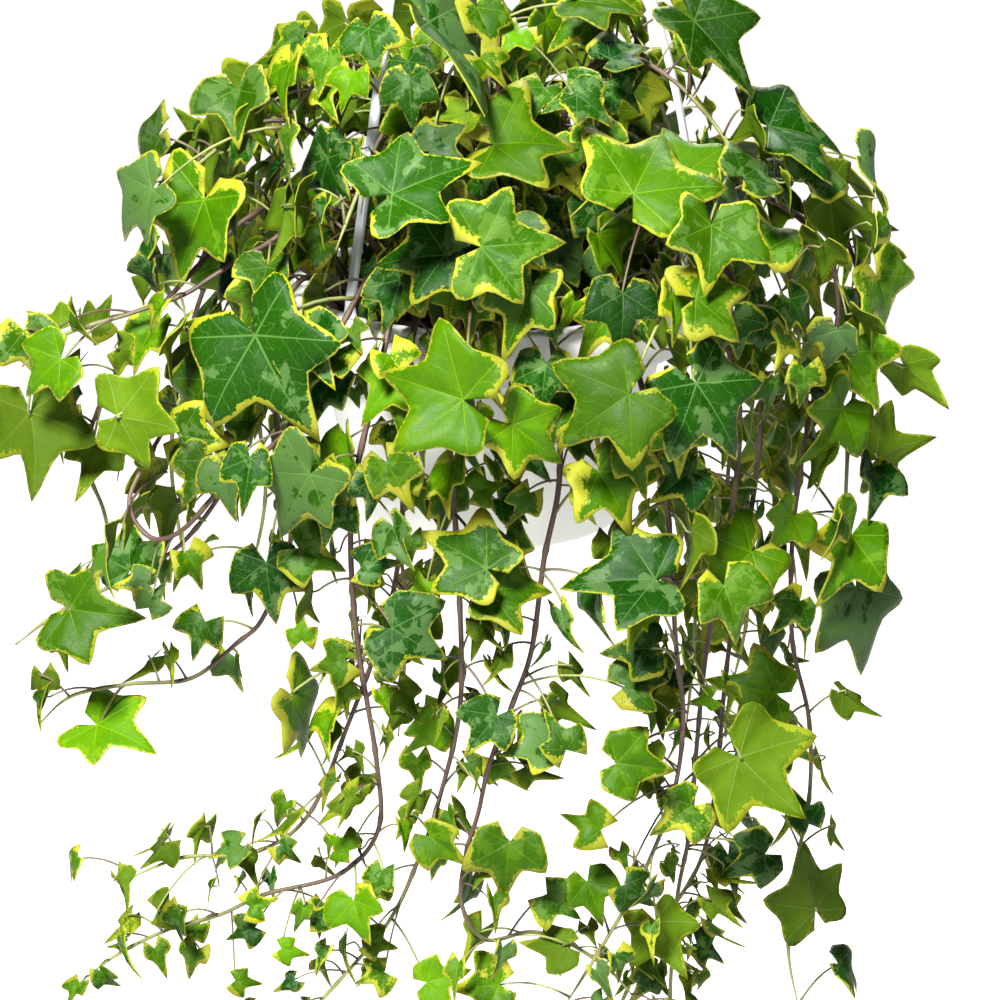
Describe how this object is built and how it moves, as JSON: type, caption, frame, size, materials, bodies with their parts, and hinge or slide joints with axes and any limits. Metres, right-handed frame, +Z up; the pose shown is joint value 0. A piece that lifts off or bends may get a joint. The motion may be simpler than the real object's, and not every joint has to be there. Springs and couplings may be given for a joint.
{
  "type": "potted goldchild english ivy",
  "caption": "Hanging pot of variegated ivy: a tapered pale plastic pot clipped to a hanger with a hook, its leafy stems arching over the rim and trailing far below it.",
  "frame": {"origin": "where the hanger's hook bears on what carries it, on the axis of the pot", "axes": "+Z up, -Y towards the front as pictured, +X to the right of the picture"},
  "size_m": [0.3972, 0.3258, 0.8111],
  "materials": {
    "pot": "smooth moulded plastic, slightly satin, warm pale grey",
    "soil": "crumbly dark potting compost",
    "hanger": "white moulded plastic with a soft gloss",
    "ivy": "leathery leaves, green with yellow margins, on brown stems; a waxy half-gloss"
  },
  "bodies": {
    "root": {"pot": "pot", "soil": "soil", "hanger": "hanger", "ivy_curl_left": "ivy", "ivy_far_left": "ivy", "ivy_left_high": "ivy", "ivy_left_sweep": "ivy", "ivy_left_low": "ivy", "ivy_fan_wide": "ivy", "ivy_fan_short": "ivy", "ivy_middle_left": "ivy", "ivy_middle_long": "ivy", "ivy_front_right": "ivy", "ivy_bundle_front": "ivy", "ivy_bundle_back": "ivy", "ivy_right_thick": "ivy", "ivy_right_far": "ivy", "ivy_crown_front": "ivy", "ivy_crown_left": "ivy", "ivy_crown_right": "ivy", "ivy_crown_top_left": "ivy", "ivy_crown_top_right": "ivy", "ivy_crown_top": "ivy", "ivy_crown_far_left": "ivy", "ivy_crown_far_right": "ivy", "ivy_side_left": "ivy", "ivy_back_left": "ivy", "ivy_back_left_long": "ivy", "ivy_back_middle": "ivy", "ivy_back_right_long": "ivy", "ivy_back_right": "ivy", "ivy_crown_back_left": "ivy", "ivy_crown_back_right": "ivy", "ivy_crown_back": "ivy"}
  },
  "joints": []
}
